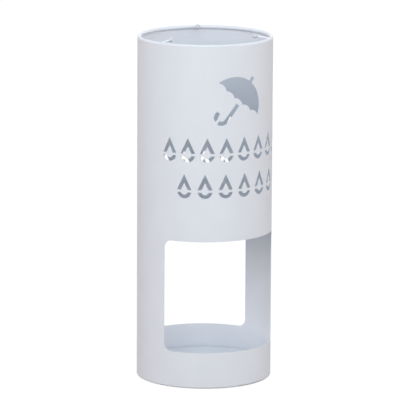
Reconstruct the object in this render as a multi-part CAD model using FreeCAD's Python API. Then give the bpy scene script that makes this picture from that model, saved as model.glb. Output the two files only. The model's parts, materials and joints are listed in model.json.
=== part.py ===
"""Umbrella stand: a tall round tube of rolled sheet steel on rubber feet.

The shell is one sheet, rolled and closed by a vertical seam weld. Both its ends are curled inwards round
a stiffening wire. It is pierced, front and back, by a large window, two rows of stencil raindrops and
a slanted umbrella. Three ball-tipped wire hooks are welded to the top curl, a flanged base plate is welded
inside the foot, and a loose drip tray lies on the base plate.

Millimetres and degrees. +Z is up and the origin is on the floor, at the centre. The front faces -Y. A bearing
is an angle about Z from the front, positive towards +X.
"""

import FreeCAD, Part
import math
import os

from FreeCAD import Vector

# Shell
DIAMETER = 195.0
HEIGHT = 500.0
SHEET = 0.8
BEAD = 5.2  # outside diameter of the curl at each end
CURL_TURN = 280.0
FLOOR_GAP = 1.0  # the feet lift the lower curl off the floor

# Windows and stencils. The back's window is a little wider, and its upper row is one raindrop shorter.
FACES = (
    {"bearing": 0.0, "window_half_angle": 62.8, "drops": (8, 6)},
    {"bearing": 180.0, "window_half_angle": 66.0, "drops": (7, 6)},
)
WINDOW_LOW = 53.5
WINDOW_HIGH = 216.0
WINDOW_CORNER = 12.0
DROP_HEIGHT = 35.0
DROP_WIDTH = 21.0
DROP_STROKE = 5.2
STENCIL_BRIDGE = 3.5
DROP_ROWS = (
    {"pitch": 16.5, "low": 331.5},
    {"pitch": 17.7, "low": 279.0},
)
SYMBOL_TILT = 37.9
SYMBOL_CENTRE = Vector(5.8, 0.0, 420.1)
CANOPY_SPAN = 82.3
CANOPY_RISE = 30.5
CANOPY_SCALLOPS = 5
CANOPY_SAG = 3.4
SCALLOP_RISE = 3.1
SHAFT_WIDTH = 6.0
FERRULE_LENGTH = 7.7
SHAFT_OFFSET = 1.9
SHAFT_GAP = 7.3
SHAFT_LENGTH = 29.0
CROOK_RADIUS = 8.2
CROOK_TAIL = 3.3

# Base plate, feet and tray
FLANGE_HEIGHT = 8.0
PLATE_BEND = 1.2  # inside radius where the disc turns up into its flange
PLATE_CLEARANCE = 0.2
FOOT_COUNT = 4
FOOT_DIAMETER = 22.0
FOOT_CIRCLE = 150.0
FOOT_ROUNDING = 1.2
TRAY_SHEET = 1.2
TRAY_HEIGHT = 11.8
TRAY_RIM_DIAMETER = 190.4
TRAY_RIM_BEAD = 2.6
TRAY_DRAFT = 2.2
TRAY_RIB_RADII = (30.0, 58.0)
TRAY_RIB_WIDTH = 8.0
TRAY_RIB_HEIGHT = 1.6

# Hooks
HOOK_BEARINGS = (53.0, 162.0, 290.0)
HOOK_WIRE = 3.4
HOOK_TIP_RADIUS = 72.0
HOOK_TIP_HEIGHT = 501.0
HOOK_BALL = 7.6

# Seam weld, inside one side post
SEAM_BEARING = 270.0
SEAM_WIDTH = 4.0
SEAM_PROUD = 0.8

# Worked out from the above
OUTER = DIAMETER / 2
INNER = OUTER - SHEET
BEAD_RADIUS = BEAD / 2
WIRE_RADIUS = BEAD_RADIUS - SHEET
BEAD_CENTRE = OUTER - BEAD_RADIUS
TOP_BEAD_Z = HEIGHT - BEAD_RADIUS
LOW_BEAD_Z = FLOOR_GAP + BEAD_RADIUS
PLATE_Z = FLOOR_GAP + BEAD
TRAY_Z = PLATE_Z + SHEET
REACH = 4.0  # how far a cutter passes beyond each face of the sheet
UP = Vector(0, 0, 1)
INWARD = Vector(0, 1, 0)
ORIGIN = Vector(0, 0, 0)


def turned(shape, bearing):
    """A copy of a shape at the front, turned about Z to a bearing."""
    copy = shape.copy()
    copy.rotate(ORIGIN, UP, bearing)
    return copy


def section_point(radius, height):
    return Vector(radius, 0, height)


def line(start, end):
    return Part.LineSegment(start, end).toShape()


def arc_about(centre, radius, start, end):
    """An arc in the XZ plane about a centre, between two angles from +X towards +Z."""
    points = []
    for angle in (start, (start + end) / 2, end):
        turn = math.radians(angle)
        points.append(centre + Vector(radius * math.cos(turn), 0, radius * math.sin(turn)))
    return Part.Arc(*points).toShape()


def face_of(edges):
    return Part.Face(Part.Wire(Part.sortEdges(edges)[0]))


def ring(edges):
    """The solid that a closed section in the XZ plane sweeps about Z."""
    return Part.Solid(face_of(edges).revolve(ORIGIN, UP, 360))


def torus_wire(height):
    """A ring of round wire that fills a curl."""
    return Part.makeTorus(BEAD_CENTRE, WIRE_RADIUS, Vector(0, 0, height), UP)


def rolled_tube():
    """The sheet before it is pierced: a straight wall with a curl turned inwards at each end."""
    curls = []
    for height, turn in ((TOP_BEAD_Z, CURL_TURN), (LOW_BEAD_Z, -CURL_TURN)):
        centre = section_point(BEAD_CENTRE, height)
        outside = arc_about(centre, BEAD_RADIUS, 0, turn)
        inside = arc_about(centre, WIRE_RADIUS, 0, turn)
        lip = line(outside.valueAt(outside.LastParameter), inside.valueAt(inside.LastParameter))
        curls += [outside, inside, lip]
    outer_wall = line(section_point(OUTER, LOW_BEAD_Z), section_point(OUTER, TOP_BEAD_Z))
    inner_wall = line(section_point(INNER, LOW_BEAD_Z), section_point(INNER, TOP_BEAD_Z))
    return ring(curls + [outer_wall, inner_wall])


def wall_sector(half_angle, low, high):
    """A block through the wall, over an arc centred on the front."""
    height = high - low
    foot = Vector(0, 0, low)
    block = Part.makeCylinder(OUTER + REACH, height, foot, UP, 2 * half_angle)
    core = Part.makeCylinder(INNER - REACH, height, foot, UP)
    return turned(block.cut(core), -90 - half_angle)


def window_cutter(half_angle):
    """A rounded rectangle wrapped on the wall: a cross of two blocks, and a round plug in each corner."""
    corner_angle = math.degrees(WINDOW_CORNER / OUTER)
    tall = wall_sector(half_angle - corner_angle, WINDOW_LOW, WINDOW_HIGH)
    wide = wall_sector(half_angle, WINDOW_LOW + WINDOW_CORNER, WINDOW_HIGH - WINDOW_CORNER)
    plugs = []
    for height in (WINDOW_LOW + WINDOW_CORNER, WINDOW_HIGH - WINDOW_CORNER):
        start = Vector(0, -OUTER - REACH, height)
        plug = Part.makeCylinder(WINDOW_CORNER, SHEET + 2 * REACH, start, INWARD)
        for side in (-1, 1):
            plugs.append(turned(plug, side * (half_angle - corner_angle)))
    return tall.fuse([wide] + plugs)


def through_wall(face):
    """A cutter through the curved front wall, from a face drawn in the XZ plane."""
    cutter = face.extrude(Vector(0, OUTER / 2, 0))
    cutter.translate(Vector(0, -OUTER - REACH, 0))
    return cutter


def drop_face(radius, half_angle):
    """A raindrop about the centre of its round end, its sides tangent to that circle and meeting on top."""
    centre = section_point(0, 0)
    tip = section_point(0, radius / math.sin(math.radians(half_angle)))
    belly = arc_about(centre, radius, half_angle, -180 - half_angle)
    left = line(belly.valueAt(belly.LastParameter), tip)
    right = line(tip, belly.valueAt(belly.FirstParameter))
    return face_of([belly, left, right])


def drop_cutter():
    """The stroke of a raindrop, crossed by a bridge that holds its middle."""
    radius = DROP_WIDTH / 2
    half_angle = math.degrees(math.asin(radius / (DROP_HEIGHT - radius)))
    outline = drop_face(radius, half_angle)
    middle = drop_face(radius - DROP_STROKE, half_angle)
    bridge = bar_face(-DROP_WIDTH, -STENCIL_BRIDGE / 2, 2 * DROP_WIDTH, STENCIL_BRIDGE)
    stroke = through_wall(outline).cut([through_wall(middle), through_wall(bridge)])
    stroke.translate(Vector(0, 0, radius))
    return stroke


def drop_rows(counts):
    """Cutters for both rows of raindrops, centred on the front."""
    cutters = []
    drop = drop_cutter()
    for row, count in zip(DROP_ROWS, counts):
        for place in range(count):
            placed = turned(drop, row["pitch"] * (place - (count - 1) / 2))
            placed.translate(Vector(0, 0, row["low"]))
            cutters.append(placed)
    return cutters


def canopy_face():
    """An umbrella's canopy about the middle of its chord: a round crown over a scalloped, sagging hem."""
    half = CANOPY_SPAN / 2
    crown = Part.Arc(section_point(-half, 0), section_point(0, CANOPY_RISE), section_point(half, 0)).toShape()
    edges = [crown]
    for scallop in range(CANOPY_SCALLOPS):
        ends = []
        for step in (scallop, scallop + 1):
            across = -half + CANOPY_SPAN * step / CANOPY_SCALLOPS
            ends.append(section_point(across, -CANOPY_SAG * (1 - (across / half) ** 2)))
        middle = (ends[0] + ends[1]) / 2 + Vector(0, 0, SCALLOP_RISE)
        edges.append(Part.Arc(ends[0], middle, ends[1]).toShape())
    return face_of(edges)


def bar_face(left, low, width, height):
    corners = [
        section_point(left, low),
        section_point(left + width, low),
        section_point(left + width, low + height),
        section_point(left, low + height),
    ]
    return Part.Face(Part.makePolygon(corners + corners[:1]))


def crook_cutter():
    """The umbrella's shaft and the crook of its handle, with a bridge across the crook."""
    half = SHAFT_WIDTH / 2
    bend = -SHAFT_GAP - SHAFT_LENGTH
    centre = section_point(-CROOK_RADIUS, bend)
    outside = arc_about(centre, CROOK_RADIUS + half, -180, 0)
    inside = arc_about(centre, CROOK_RADIUS - half, -180, 0)
    shut = [
        line(outside.valueAt(edge_end), inside.valueAt(edge_end))
        for edge_end in (outside.FirstParameter, outside.LastParameter)
    ]
    crook = through_wall(face_of([outside, inside] + shut))
    shaft = through_wall(bar_face(-half, bend, SHAFT_WIDTH, SHAFT_LENGTH))
    tail = through_wall(bar_face(-2 * CROOK_RADIUS - half, bend, SHAFT_WIDTH, CROOK_TAIL))
    bridge_left = -CROOK_RADIUS - STENCIL_BRIDGE
    bridge_height = CROOK_RADIUS + SHAFT_WIDTH
    bridge = through_wall(bar_face(bridge_left, bend - bridge_height, STENCIL_BRIDGE, bridge_height))
    handle = crook.fuse([shaft, tail]).cut(bridge)
    handle.translate(Vector(SHAFT_OFFSET, 0, 0))
    return handle


def umbrella_cutter():
    """The slanted umbrella, its canopy apart from its shaft."""
    half = SHAFT_WIDTH / 2
    ferrule = through_wall(bar_face(-half, CANOPY_RISE - half, SHAFT_WIDTH, FERRULE_LENGTH + half))
    umbrella = through_wall(canopy_face()).fuse([ferrule, crook_cutter()])
    umbrella.rotate(ORIGIN, INWARD, SYMBOL_TILT)
    umbrella.translate(SYMBOL_CENTRE)
    return umbrella


def shell():
    cutters = []
    for face in FACES:
        front = [window_cutter(face["window_half_angle"]), umbrella_cutter()] + drop_rows(face["drops"])
        cutters += [turned(cutter, face["bearing"]) for cutter in front]
    return rolled_tube().cut(cutters)


def seam_weld():
    """The weld's inner bead, a low rib down the middle of one side post."""
    low = PLATE_Z + FLANGE_HEIGHT + 2 * SHEET
    high = HEIGHT - 2 * BEAD
    rib_radius = (SEAM_WIDTH**2 / 4 + SEAM_PROUD**2) / (2 * SEAM_PROUD)
    rib_centre = Vector(0, -INNER - rib_radius + SEAM_PROUD, low)
    rib = Part.makeCylinder(rib_radius, high - low, rib_centre, UP)
    inside = Part.makeCylinder(INNER, high - low, Vector(0, 0, low), UP)
    return turned(rib.common(inside), SEAM_BEARING)


def base_plate():
    """A pressed disc with an upturned flange, lying on the lower curl."""
    radius = INNER - PLATE_CLEARANCE
    disc = Part.makeCylinder(radius, SHEET + FLANGE_HEIGHT, Vector(0, 0, PLATE_Z), UP)
    hollow = Part.makeCylinder(radius - SHEET, FLANGE_HEIGHT, Vector(0, 0, TRAY_Z), UP)
    bend_edges = [edge for edge in hollow.Edges if abs(edge.BoundBox.ZMax - TRAY_Z) < 0.01 and edge.Closed]
    return disc.cut(hollow.makeFillet(PLATE_BEND, bend_edges))


def foot():
    """A moulded rubber pad under the base plate, at the front, with its lower edge rounded."""
    centre = Vector(0, -FOOT_CIRCLE / 2, 0)
    pad = Part.makeCylinder(FOOT_DIAMETER / 2, PLATE_Z, centre, UP)
    rounded = [edge for edge in pad.Edges if edge.BoundBox.ZMax < 0.01]
    return pad.makeFillet(FOOT_ROUNDING, rounded)


def drip_tray():
    """A shallow pressed dish with sloping sides, a rolled rim, and two raised rings in its floor."""
    rim_radius = (TRAY_RIM_DIAMETER - TRAY_RIM_BEAD) / 2
    side = TRAY_HEIGHT - TRAY_RIM_BEAD / 2
    top = rim_radius - TRAY_RIM_BEAD / 2 + TRAY_SHEET
    low = top - TRAY_DRAFT
    floor = Vector(0, 0, TRAY_Z + TRAY_SHEET)
    dish = Part.makeCone(low, top, side, Vector(0, 0, TRAY_Z), UP)
    hollow = Part.makeCone(low - TRAY_SHEET, top - TRAY_SHEET, side, floor, UP)
    rim = Part.makeTorus(rim_radius, TRAY_RIM_BEAD / 2, Vector(0, 0, TRAY_Z + side), UP)
    ribs = [tray_rib(radius) for radius in TRAY_RIB_RADII]
    return dish.cut(hollow).fuse([rim] + ribs).removeSplitter()


def tray_rib(radius):
    """A low round-backed ring standing on the tray's floor."""
    floor = TRAY_Z + TRAY_SHEET
    start = section_point(radius - TRAY_RIB_WIDTH / 2, floor)
    end = section_point(radius + TRAY_RIB_WIDTH / 2, floor)
    crown = Part.Arc(start, section_point(radius, floor + TRAY_RIB_HEIGHT), end).toShape()
    return ring([crown, line(end, start)])


def hook_wire():
    """A short straight wire, butted on the top curl that it is welded to, that climbs inwards to its ball."""
    curl = Vector(0, -BEAD_CENTRE, TOP_BEAD_Z)
    arm = Vector(0, -HOOK_TIP_RADIUS, HOOK_TIP_HEIGHT) - curl
    length = arm.Length - BEAD_RADIUS
    arm.normalize()
    return Part.makeCylinder(HOOK_WIRE / 2, length, curl + arm * BEAD_RADIUS, arm)


def hook_ball():
    """The moulded ball pressed over the end of a hook's wire."""
    ball = Part.makeSphere(HOOK_BALL / 2, Vector(0, -HOOK_TIP_RADIUS, HOOK_TIP_HEIGHT))
    return ball.cut(hook_wire())


def parts():
    pieces = {
        "shell": shell(),
        "top_wire": torus_wire(TOP_BEAD_Z),
        "bottom_wire": torus_wire(LOW_BEAD_Z),
        "seam_weld": seam_weld(),
        "base_plate": base_plate(),
        "drip_tray": drip_tray(),
    }
    for number in range(FOOT_COUNT):
        pieces[f"foot_{number + 1}"] = turned(foot(), 360 * (number + 0.5) / FOOT_COUNT)
    for number, bearing in enumerate(HOOK_BEARINGS):
        pieces[f"hook_wire_{number + 1}"] = turned(hook_wire(), bearing)
        pieces[f"hook_ball_{number + 1}"] = turned(hook_ball(), bearing)
    return pieces


os.makedirs("parts", exist_ok=True)
for name, shape in parts().items():
    shape.exportStep(f"parts/{name}.step")
    print(f"{name}: {len(shape.Solids)} solid, valid {shape.isValid()}, {shape.Volume:.0f} mm3")
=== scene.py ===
"""Looks of the umbrella stand: cool white powder coat on sheet steel, in soft, even studio light.

Metres, +Z up, the front towards -Y. A bearing is an angle about Z from the front, positive towards +X.
"""

import json
import math

import bmesh
import bpy
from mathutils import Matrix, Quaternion, Vector


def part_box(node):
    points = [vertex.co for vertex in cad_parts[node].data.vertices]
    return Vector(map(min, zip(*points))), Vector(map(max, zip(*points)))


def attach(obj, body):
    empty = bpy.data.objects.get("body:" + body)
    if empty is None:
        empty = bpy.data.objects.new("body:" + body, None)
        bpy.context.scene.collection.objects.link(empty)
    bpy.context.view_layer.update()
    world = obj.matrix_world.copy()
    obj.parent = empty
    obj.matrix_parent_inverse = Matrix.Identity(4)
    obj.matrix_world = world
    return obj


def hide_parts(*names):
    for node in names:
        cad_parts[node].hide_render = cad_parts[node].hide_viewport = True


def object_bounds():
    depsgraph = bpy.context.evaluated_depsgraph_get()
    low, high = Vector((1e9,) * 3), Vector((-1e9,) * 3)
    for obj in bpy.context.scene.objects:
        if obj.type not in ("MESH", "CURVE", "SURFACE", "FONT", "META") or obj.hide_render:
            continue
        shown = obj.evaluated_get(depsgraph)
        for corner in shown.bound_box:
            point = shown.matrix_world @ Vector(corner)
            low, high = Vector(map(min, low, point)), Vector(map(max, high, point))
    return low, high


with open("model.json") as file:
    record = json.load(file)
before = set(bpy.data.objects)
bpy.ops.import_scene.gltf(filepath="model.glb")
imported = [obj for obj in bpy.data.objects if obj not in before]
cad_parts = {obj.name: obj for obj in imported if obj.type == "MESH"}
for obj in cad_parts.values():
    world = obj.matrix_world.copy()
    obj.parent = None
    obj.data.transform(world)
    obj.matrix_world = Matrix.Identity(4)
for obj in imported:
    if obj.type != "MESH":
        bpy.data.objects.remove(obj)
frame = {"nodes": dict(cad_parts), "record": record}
cad_low, cad_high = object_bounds()

MM = 0.001
UP = Vector((0, 0, 1))

# Camera: a long lens, a little above the rim, to the left of the front
CAMERA_BEARING = -27.0
CAMERA_DISTANCE = 5.625
CAMERA_HEIGHT = 1.362
CAMERA_PITCH = -11.1
CAMERA_PAN = 0.065
CAMERA_ROLL = 0.3
LENS = 356.5
SENSOR = 36.0
CLIP_START = 0.1
CLIP_END = 100.0

# Colours, linear
COAT_WHITE = (0.76, 0.80, 0.85)
TRAY_WHITE = (0.72, 0.755, 0.80)
BALL_WHITE = (0.60, 0.64, 0.69)
BARE_STEEL = (0.52, 0.52, 0.53)
FOOT_GREY = (0.035, 0.036, 0.038)
FLOOR_WHITE = (0.30, 0.30, 0.30)

# Powder coat: how satin it is, the haze of its fine texture, and the sizes of what varies over it
COAT_ROUGHNESS = 0.42
TRAY_ROUGHNESS = 0.38
HAZE = 0.35
HAZE_ROUGHNESS = 0.35
CLOUD_SIZE = 45 * MM
FLECK_SIZE = 0.5 * MM
FLECK_SHARE = 0.006
GLOSS_PATCH_SIZE = 12 * MM
WEAR_SIZE = 4 * MM
PEEL_SIZE = 1.3 * MM
PEEL_DEPTH = 0.03 * MM
GRAIN_SIZE = 0.35 * MM
GRAIN_SHARE = 0.35
EDGE_ROUNDING = 0.35 * MM
EDGE_FILM = 0.9

# Light, each colour times its strength: the sky's two ends, and a softbox in watts
SKY_LEVEL = (1.83, 1.54, 1.40)
SKY_ABOVE = (0.35, 0.52, 0.66)
KEY_LIGHT = (8.5, 10.3, 11.1)
KEY_DISTANCE = 1.7
KEY_HEIGHT = 1.35
KEY_SIZE = 1.2
FLOOR_SIZE = 40.0
FLOOR_GLOW = 1.22
FLOOR_GLOW_SHARE = 0.8

# Welds
RIPPLE_PITCH = 1.6 * MM
RIPPLE_DEPTH = 0.3
RIPPLE_TRAIL = 0.7
WELD_STEP = 0.4 * MM
ARCH_STEPS = 8
TACK_COUNT = 8
TACK_LENGTH = 9 * MM
TACK_LEG = 2.0 * MM
TACK_RISE = 0.6 * MM
CORNER_SHARE = 0.35
TAPER_END = 0.02
FILLET_LEG = 1.3 * MM
FILLET_RISE = 0.3 * MM
FILLET_STEPS = 48

# Moulded ball tips: shares of the ball's radius
COLLAR_RADIUS = 0.66
COLLAR_LENGTH = 1.22
COLLAR_ROUNDING = 0.08
COLLAR_GROOVE = 0.06
PARTING_RIDGE = 0.018
PARTING_WIDTH = 0.05
BALL_STEPS = 40
TURN_STEPS = 56
POLE = 0.01 * MM


def add_node(tree, kind, inputs=None, **settings):
    """A shader node with its settings and unlinked inputs filled in."""
    made = tree.nodes.new(kind)
    for name, value in settings.items():
        setattr(made, name, value)
    for name, value in (inputs or {}).items():
        made.inputs[name].default_value = value
    return made


def new_material(name):
    """An empty node material, with its Principled shader and its object coordinates."""
    material = bpy.data.materials.new(name)
    material.use_nodes = True
    tree = material.node_tree
    tree.nodes.clear()
    shader = add_node(tree, "ShaderNodeBsdfPrincipled")
    output = add_node(tree, "ShaderNodeOutputMaterial")
    tree.links.new(shader.outputs["BSDF"], output.inputs["Surface"])
    place = add_node(tree, "ShaderNodeTexCoord").outputs["Object"]
    return material, tree, shader, place


def noise(tree, place, size, detail=2.0, roughness=0.5):
    """Noise whose features are about size metres across."""
    made = add_node(tree, "ShaderNodeTexNoise", {"Scale": 1 / size, "Detail": detail, "Roughness": roughness})
    tree.links.new(place, made.inputs["Vector"])
    return made.outputs["Fac"]


def spread(tree, value, low, high, start=0.3, end=0.7):
    """A noise value mapped from its usual range on to low..high."""
    inputs = {"From Min": start, "From Max": end, "To Min": low, "To Max": high}
    made = add_node(tree, "ShaderNodeMapRange", inputs)
    tree.links.new(value, made.inputs["Value"])
    return made.outputs["Result"]


def scaled_colour(tree, colour, factor):
    """A colour made lighter or darker by a factor that varies over the surface."""
    made = add_node(tree, "ShaderNodeVectorMath", operation="SCALE")
    made.inputs[0].default_value = colour
    tree.links.new(factor, made.inputs["Scale"])
    return made.outputs["Vector"]


def mixed_colour(tree, factor, base, other):
    """A blend from the base socket to another flat colour."""
    made = add_node(tree, "ShaderNodeMix", data_type="RGBA")
    tree.links.new(factor, made.inputs["Factor"])
    tree.links.new(base, made.inputs["A"])
    made.inputs["B"].default_value = (*other, 1)
    return made.outputs["Result"]


def rounded_normal(tree, radius):
    """A normal that rolls over sharp edges."""
    made = add_node(tree, "ShaderNodeBevel", {"Radius": radius}, samples=6)
    return made.outputs["Normal"]


def edge_mask(tree, rolled):
    """1 on sharp edges, where the rolled normal turns away from the true one, and 0 elsewhere."""
    true_normal = add_node(tree, "ShaderNodeNewGeometry").outputs["Normal"]
    product = add_node(tree, "ShaderNodeVectorMath", operation="DOT_PRODUCT")
    tree.links.new(rolled, product.inputs[0])
    tree.links.new(true_normal, product.inputs[1])
    return spread(tree, product.outputs["Value"], 1.0, 0.0, start=0.75, end=0.99)


def bumped(tree, height, distance, strength, normal=None):
    """A normal disturbed by a height, laid over another normal if there is one."""
    made = add_node(tree, "ShaderNodeBump", {"Strength": strength, "Distance": distance})
    tree.links.new(height, made.inputs["Height"])
    if normal is not None:
        tree.links.new(normal, made.inputs["Normal"])
    return made.outputs["Normal"]


def summed(tree, first, second, share):
    """Two values added, the second one scaled by share."""
    made = add_node(tree, "ShaderNodeMath", operation="MULTIPLY_ADD")
    tree.links.new(second, made.inputs[0])
    made.inputs[1].default_value = share
    tree.links.new(first, made.inputs[2])
    return made.outputs["Value"]


def powder_coat(name, colour, roughness):
    """Satin powder coat: fine orange peel over a finer grain, faint clouding, and thinner film on edges."""
    material, tree, shader, place = new_material(name)
    clouds = spread(tree, noise(tree, place, CLOUD_SIZE, detail=3), 0.985, 1.015)
    flecks = noise(tree, place, FLECK_SIZE, detail=1)
    tone = scaled_colour(tree, colour, summed(tree, clouds, spread(tree, flecks, -1, 1), FLECK_SHARE))
    rolled = rounded_normal(tree, EDGE_ROUNDING)
    edges = edge_mask(tree, rolled)
    thin_film = tuple(EDGE_FILM * part for part in colour)
    worn = noise(tree, place, WEAR_SIZE, detail=4)
    wear = add_node(tree, "ShaderNodeMath", operation="MULTIPLY")
    tree.links.new(edges, wear.inputs[0])
    tree.links.new(spread(tree, worn, 0.1, 0.7), wear.inputs[1])
    tree.links.new(mixed_colour(tree, wear.outputs["Value"], tone, thin_film), shader.inputs["Base Color"])
    patches = noise(tree, place, GLOSS_PATCH_SIZE, detail=3)
    rough = spread(tree, patches, roughness - 0.03, roughness + 0.04)
    tree.links.new(rough, shader.inputs["Roughness"])
    grain = noise(tree, place, GRAIN_SIZE)
    peel = summed(tree, noise(tree, place, PEEL_SIZE, detail=1), grain, GRAIN_SHARE)
    tree.links.new(bumped(tree, peel, PEEL_DEPTH, 0.5, rolled), shader.inputs["Normal"])
    shader.inputs["Sheen Weight"].default_value = HAZE
    shader.inputs["Sheen Roughness"].default_value = HAZE_ROUGHNESS
    return material


def moulded_plastic(name, colour):
    """Glossy moulded plastic, with faint flow marks and a soft glow under its skin."""
    material, tree, shader, place = new_material(name)
    flow = noise(tree, place, 3 * MM, detail=3)
    tree.links.new(scaled_colour(tree, colour, spread(tree, flow, 0.97, 1.02)), shader.inputs["Base Color"])
    tree.links.new(spread(tree, flow, 0.16, 0.26), shader.inputs["Roughness"])
    tree.links.new(bumped(tree, flow, 0.02 * MM, 0.4), shader.inputs["Normal"])
    shader.inputs["Subsurface Weight"].default_value = 0.15
    shader.inputs["Subsurface Scale"].default_value = 0.8 * MM
    return material


def drawn_steel(name, colour):
    """Bare drawn wire: a dull metal with specks of mill scale."""
    material, tree, shader, place = new_material(name)
    scale = noise(tree, place, 1.5 * MM, detail=5)
    tree.links.new(scaled_colour(tree, colour, spread(tree, scale, 0.75, 1.05)), shader.inputs["Base Color"])
    tree.links.new(spread(tree, scale, 0.5, 0.3), shader.inputs["Roughness"])
    tree.links.new(bumped(tree, scale, 0.02 * MM, 0.5), shader.inputs["Normal"])
    shader.inputs["Metallic"].default_value = 1.0
    return material


def moulded_rubber(name, colour):
    """Dark moulded rubber: matte, dusty in patches, with a fine grain."""
    material, tree, shader, place = new_material(name)
    dust = spread(tree, noise(tree, place, 6 * MM, detail=5), 0.85, 1.7)
    tree.links.new(scaled_colour(tree, colour, dust), shader.inputs["Base Color"])
    tree.links.new(spread(tree, noise(tree, place, 2 * MM), 0.7, 0.85), shader.inputs["Roughness"])
    tree.links.new(bumped(tree, noise(tree, place, 0.4 * MM), 0.05 * MM, 0.6), shader.inputs["Normal"])
    return material


def dress(node_name, material):
    """Gives a CAD node one material throughout."""
    slots = frame["nodes"][node_name].data.materials
    slots.clear()
    slots.append(material)


def dress_cad_nodes():
    """Each CAD node takes the Blender material of its slot in the record."""
    finishes = {
        "powder_coat": powder_coat("powder_coat_white", COAT_WHITE, COAT_ROUGHNESS),
        "tray_coat": powder_coat("tray_coat_white", TRAY_WHITE, TRAY_ROUGHNESS),
        "ball_plastic": moulded_plastic("ball_plastic_white", BALL_WHITE),
        "stiffener_wire": drawn_steel("stiffener_steel", BARE_STEEL),
        "foot_rubber": moulded_rubber("foot_rubber_grey", FOOT_GREY),
    }
    for subpart in frame["record"]["subparts"]:
        dress(subpart["node"], finishes[subpart["material_slot"]])
    return finishes


def bearing_point(bearing, distance, height):
    """A point on a bearing, at a distance from the stand's axis and a height over the floor."""
    turn = math.radians(bearing)
    return Vector((distance * math.sin(turn), -distance * math.cos(turn), height))


def piece_from(mesh, name):
    """A new object in the scene from a bmesh, which is used up."""
    data = bpy.data.meshes.new(name)
    bmesh.ops.recalc_face_normals(mesh, faces=mesh.faces)
    mesh.to_mesh(data)
    mesh.free()
    made = bpy.data.objects.new(name, data)
    bpy.context.scene.collection.objects.link(made)
    return made


def ripple(travelled, side):
    """The share of its height that a weld has: a row of crescents that trail behind the weld's middle."""
    phase = travelled / RIPPLE_PITCH - RIPPLE_TRAIL * math.sin(math.pi * side)
    return 1 - RIPPLE_DEPTH * (1 - abs(math.sin(math.pi * phase)))


def end_taper(travelled, total, length):
    """1 along a weld, falling round to nearly 0 over a length at each end."""
    left = min(travelled, total - travelled, length) / length
    return math.sqrt(max(1 - (1 - left) ** 2, TAPER_END**2))


def weld(name, places, half_width, height, closed=False):
    """A rippled weld laid along places, each a point, the direction across the weld and the one out of it.
    It is closed underneath, and it closes on itself or tapers at both ends."""
    mesh = bmesh.new()
    travels = [0.0]
    for before, after in zip(places, places[1:]):
        travels.append(travels[-1] + (after[0] - before[0]).length)
    rings = []
    for travelled, (point, across, out) in zip(travels, places):
        size = 1.0 if closed else end_taper(travelled, travels[-1], 2 * half_width)
        arch = []
        for step in range(ARCH_STEPS + 1):
            side = step / ARCH_STEPS
            rise = height * math.sin(math.pi * side) * ripple(travelled, side)
            place = point + size * (across * (half_width * math.cos(math.pi * side)) + out * rise)
            arch.append(mesh.verts.new(place))
        rings.append(arch)
    pairs = list(zip(rings, rings[1:]))
    if closed:
        pairs.append((rings[-1], rings[0]))
    else:
        mesh.faces.new(rings[0])
        mesh.faces.new(rings[-1])
    for near, far in pairs:
        for step in range(ARCH_STEPS + 1):
            other = (step + 1) % (ARCH_STEPS + 1)
            mesh.faces.new((near[step], near[other], far[other], far[step]))
    made = piece_from(mesh, name)
    for face in made.data.polygons:
        face.use_smooth = True
    made.data.materials.append(finishes["powder_coat"])
    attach(made, "stand")
    return made


def inward(bearing):
    """The level direction from the wall towards the axis."""
    return -bearing_point(bearing, 1, 0)


def sideways(bearing):
    """The level direction along the wall."""
    return bearing_point(bearing + 90, 1, 0)


def wall_radius():
    """The radius of the wall's inner face, which the seam weld's rib lies on."""
    low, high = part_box("seam_weld")
    return max(abs(low.x), abs(high.x))


def seam():
    """The hand weld down the inside of a side post, in place of its plain rib."""
    low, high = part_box("seam_weld")
    bearing = math.degrees(math.atan2(low.x + high.x, -low.y - high.y))
    steps = round((high.z - low.z) / WELD_STEP)
    places = []
    for step in range(steps + 1):
        point = bearing_point(bearing, wall_radius(), low.z + (high.z - low.z) * step / steps)
        places.append((point, sideways(bearing), inward(bearing)))
    ripples = weld("seam_ripples", places, (high.y - low.y) / 2, high.x - low.x)
    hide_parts("seam_weld")


def in_corner(point, first, second, leg):
    """A place for a weld in the corner between two directions, its edges sunk a little into both faces."""
    middle = point + (first + second) * (CORNER_SHARE * leg)
    return middle, (first - second).normalized(), (first + second).normalized()


def plate_tacks():
    """Short welds in the corner between the base plate's flange and the wall."""
    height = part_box("base_plate")[1].z
    wall = wall_radius()
    steps = round(TACK_LENGTH / WELD_STEP)
    for number in range(TACK_COUNT):
        places = []
        for step in range(steps + 1):
            along = TACK_LENGTH * (step / steps - 0.5)
            bearing = 360 * (number + 0.5) / TACK_COUNT + math.degrees(along / wall)
            places.append(in_corner(bearing_point(bearing, wall, height), UP, inward(bearing), TACK_LEG))
        weld(f"plate_tack_{number + 1}", places, TACK_LEG / math.sqrt(2), TACK_RISE)


def curl_size():
    """The top curl's circle radius, its height and its own radius, from its wire and the rim's height."""
    low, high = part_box("top_wire")
    core = (high.z - low.z) / 2
    height = high.z - core
    return high.x - core, height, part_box("shell")[1].z - height


def hook_axis(number):
    """Where a hook's wire leaves the curl's middle, its direction, and its ball's middle."""
    low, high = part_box(f"hook_ball_{number}")
    ball = (low + high) / 2
    circle, height, _ = curl_size()
    root = bearing_point(math.degrees(math.atan2(ball.x, -ball.y)), circle, height)
    return root, (ball - root).normalized(), ball


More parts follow.
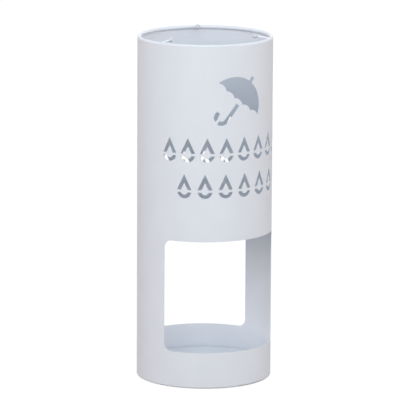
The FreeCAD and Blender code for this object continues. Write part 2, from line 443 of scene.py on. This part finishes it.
def hook_fillet(number):
    """The ring of weld where a hook's wire meets the top curl."""
    root, arm, ball = hook_axis(number)
    side = arm.cross(UP).normalized()
    over = side.cross(arm)
    vertices = frame["nodes"][f"hook_wire_{number}"].data.vertices
    wire = max((vertex.co - root).cross(arm).length for vertex in vertices)
    curl = curl_size()[2]
    places = []
    for step in range(FILLET_STEPS):
        turn = 2 * math.pi * step / FILLET_STEPS
        out = side * math.cos(turn) + over * math.sin(turn)
        reach = math.sqrt(curl**2 - (wire * math.sin(turn)) ** 2)
        places.append(in_corner(root + out * wire + arm * reach, arm, out, FILLET_LEG))
    weld(f"hook_fillet_{number}", places, FILLET_LEG / math.sqrt(2), FILLET_RISE, closed=True)


def ball_profile(radius):
    """A ball tip's outline from the wire's side to its nose, as distances along and from the wire's line."""
    collar = COLLAR_RADIUS * radius
    length = COLLAR_LENGTH * radius
    rounding = COLLAR_ROUNDING * radius
    points = [(-length, 0.0), (-length, collar - rounding), (-length + rounding, collar)]
    start = math.pi - math.asin(COLLAR_RADIUS) - COLLAR_GROOVE
    for step in range(BALL_STEPS + 1):
        turn = start * (1 - step / BALL_STEPS)
        ridge = 1 + PARTING_RIDGE * math.exp(-(((turn - math.pi / 2) / PARTING_WIDTH) ** 2))
        points.append((radius * ridge * math.cos(turn), radius * ridge * math.sin(turn)))
    return points


def ball_tip(number):
    """A moulded ball with a collar round its wire and a parting line round its middle."""
    root, arm, ball = hook_axis(number)
    low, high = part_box(f"hook_ball_{number}")
    side = arm.cross(UP).normalized()
    over = side.cross(arm)
    mesh = bmesh.new()
    rings = []
    for along, off in ball_profile((high.z - low.z) / 2):
        middle = ball + arm * along
        if off < POLE:
            rings.append([mesh.verts.new(middle)])
            continue
        ring = []
        for step in range(TURN_STEPS):
            turn = 2 * math.pi * step / TURN_STEPS
            ring.append(mesh.verts.new(middle + (side * math.cos(turn) + over * math.sin(turn)) * off))
        rings.append(ring)
    for near, far in zip(rings, rings[1:]):
        for step in range(TURN_STEPS):
            other = (step + 1) % TURN_STEPS
            corners = [ring[index % len(ring)] for ring in (near, far) for index in (step, other)]
            mesh.faces.new(dict.fromkeys(corners[index] for index in (0, 1, 3, 2)))
    made = piece_from(mesh, f"ball_tip_{number}")
    for face in made.data.polygons:
        face.use_smooth = True
    made.data.materials.append(finishes["ball_plastic"])
    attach(made, "stand")
    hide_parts(f"hook_ball_{number}")


def hooks():
    """The weld and the ball tip of every hook."""
    for number in range(1, 1 + sum(name.startswith("hook_ball_") for name in frame["nodes"])):
        hook_fillet(number)
        ball_tip(number)


def softbox(name, bearing, distance, height, size, light, aim):
    """A square area light on a bearing, facing a point. Its light is a colour times a power in watts."""
    data = bpy.data.lights.new(name, "AREA")
    data.shape = "SQUARE"
    data.size = size
    data.energy = max(light)
    data.color = [part / data.energy for part in light]
    lamp = bpy.data.objects.new(name, data)
    lamp.location = bearing_point(bearing, distance, height)
    lamp.rotation_mode = "QUATERNION"
    lamp.rotation_quaternion = (aim - lamp.location).to_track_quat("-Z", "Y")
    lamp.visible_camera = False
    bpy.context.scene.collection.objects.link(lamp)


def seen_and_lighting(tree, seen, lighting, output):
    """Shows one shader to the camera, and lights the object with another."""
    rays = add_node(tree, "ShaderNodeLightPath").outputs["Is Camera Ray"]
    choice = add_node(tree, "ShaderNodeMixShader")
    tree.links.new(rays, choice.inputs["Fac"])
    tree.links.new(lighting, choice.inputs[1])
    tree.links.new(seen, choice.inputs[2])
    tree.links.new(choice.outputs["Shader"], output.inputs["Surface"])


def sky():
    """A white sweep to the eye. As a light, it goes from one colour at floor level to another overhead."""
    world = bpy.data.worlds.new("sky")
    world.use_nodes = True
    tree = world.node_tree
    tree.nodes.clear()
    output = add_node(tree, "ShaderNodeOutputWorld")
    seen = add_node(tree, "ShaderNodeBackground", {"Color": (1, 1, 1, 1), "Strength": 1.0})
    direction = add_node(tree, "ShaderNodeTexCoord").outputs["Generated"]
    split = add_node(tree, "ShaderNodeSeparateXYZ")
    tree.links.new(direction, split.inputs["Vector"])
    level = add_node(tree, "ShaderNodeRGB")
    level.outputs["Color"].default_value = (*SKY_LEVEL, 1)
    rise = spread(tree, split.outputs["Z"], 0.0, 1.0, start=0.0, end=1.0)
    light = add_node(tree, "ShaderNodeBackground")
    tree.links.new(mixed_colour(tree, rise, level.outputs["Color"], SKY_ABOVE), light.inputs["Color"])
    seen_and_lighting(tree, seen.outputs["Background"], light.outputs["Background"], output)
    bpy.context.scene.world = world


def floor():
    """A plain pale floor that melts into the white sweep, apart from a trace of contact shadow."""
    mesh = bmesh.new()
    bmesh.ops.create_grid(mesh, x_segments=1, y_segments=1, size=FLOOR_SIZE / 2)
    plane = piece_from(mesh, "floor")
    material = bpy.data.materials.new("floor_white")
    material.use_nodes = True
    tree = material.node_tree
    tree.nodes.clear()
    output = add_node(tree, "ShaderNodeOutputMaterial")
    matte = add_node(tree, "ShaderNodeBsdfDiffuse", {"Color": (*FLOOR_WHITE, 1)})
    glow = add_node(tree, "ShaderNodeEmission", {"Strength": FLOOR_GLOW})
    seen = add_node(tree, "ShaderNodeMixShader", {"Fac": FLOOR_GLOW_SHARE})
    tree.links.new(matte.outputs["BSDF"], seen.inputs[1])
    tree.links.new(glow.outputs["Emission"], seen.inputs[2])
    seen_and_lighting(tree, seen.outputs["Shader"], matte.outputs["BSDF"], output)
    plane.data.materials.append(material)


def studio():
    """The sweep, and a broad cool key on the camera's side."""
    sky()
    floor()
    middle = (cad_low + cad_high) / 2
    softbox("key", CAMERA_BEARING, KEY_DISTANCE, KEY_HEIGHT, KEY_SIZE, KEY_LIGHT, middle)


def photo_camera():
    """The camera, with the lens, place and tilt given above."""
    data = bpy.data.cameras.new("camera")
    data.lens = LENS
    data.sensor_width = SENSOR
    data.clip_start = CLIP_START
    data.clip_end = CLIP_END
    camera = bpy.data.objects.new("camera", data)
    camera.location = bearing_point(CAMERA_BEARING, CAMERA_DISTANCE, CAMERA_HEIGHT)
    heading = Quaternion(UP, math.radians(CAMERA_BEARING + CAMERA_PAN))
    tilt = Quaternion((1, 0, 0), math.radians(90 + CAMERA_PITCH))
    roll = Quaternion((0, 0, 1), math.radians(CAMERA_ROLL))
    camera.rotation_mode = "QUATERNION"
    camera.rotation_quaternion = heading @ tilt @ roll
    bpy.context.scene.collection.objects.link(camera)
    bpy.context.scene.camera = camera


bpy.context.scene.view_settings.view_transform = "Standard"
finishes = dress_cad_nodes()
seam()
plate_tacks()
hooks()
studio()
photo_camera()
